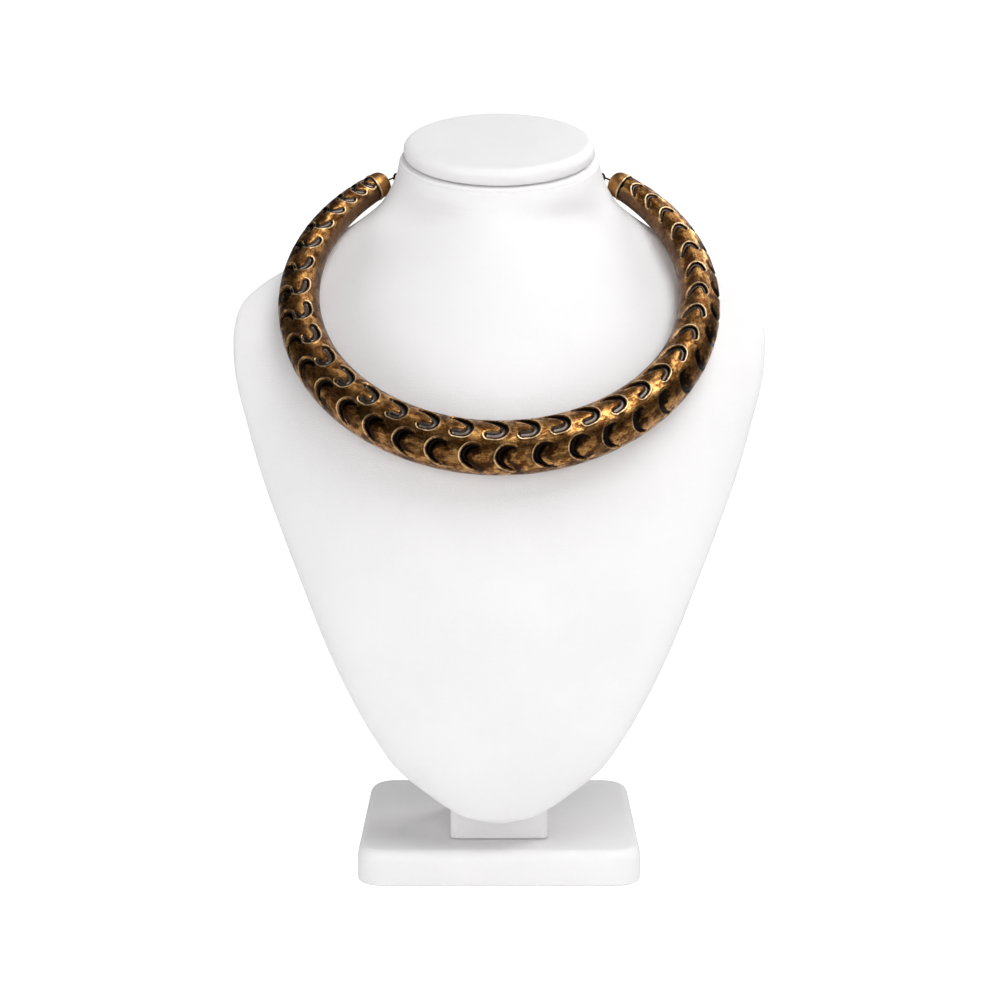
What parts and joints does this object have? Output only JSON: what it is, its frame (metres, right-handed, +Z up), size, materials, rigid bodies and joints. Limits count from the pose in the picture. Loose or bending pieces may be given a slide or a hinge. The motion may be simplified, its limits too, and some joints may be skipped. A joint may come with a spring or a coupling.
{
  "type": "collar choker necklace on neck bust display stand",
  "caption": "Rigid tubular collar choker with stamped crescent rows and end caps, joined by a chain behind the neck, worn by a plain neck and shoulders bust on a block base.",
  "frame": {"origin": "on the ground, under the middle of the whole", "axes": "+Z up, the chest and the front of the collar face -Y, +X is the viewer's right"},
  "size_m": [0.2066, 0.1336, 0.2911],
  "materials": {
    "antique_brass": "antiqued, semi-gloss",
    "dark_brass": "dark antiqued",
    "white_leatherette": "matt, fine grain"
  },
  "bodies": {
    "root": {"base": "white_leatherette", "bust": "white_leatherette", "chain_link_left_01": "dark_brass", "chain_link_left_02": "dark_brass", "chain_link_left_03": "dark_brass", "chain_link_left_04": "dark_brass", "chain_link_left_05": "dark_brass", "chain_link_left_06": "dark_brass", "chain_link_left_07": "dark_brass", "chain_link_left_08": "dark_brass", "chain_link_left_09": "dark_brass", "chain_link_right_01": "dark_brass", "chain_link_right_02": "dark_brass", "chain_link_right_03": "dark_brass", "chain_link_right_04": "dark_brass", "chain_link_right_05": "dark_brass", "chain_link_right_06": "dark_brass", "chain_link_right_07": "dark_brass", "chain_link_right_08": "dark_brass", "chain_link_right_09": "dark_brass", "clasp": "dark_brass", "collar": "antique_brass", "end_cap_left": "antique_brass", "end_cap_right": "antique_brass", "neck_cap": "white_leatherette", "post": "white_leatherette"}
  },
  "joints": []
}
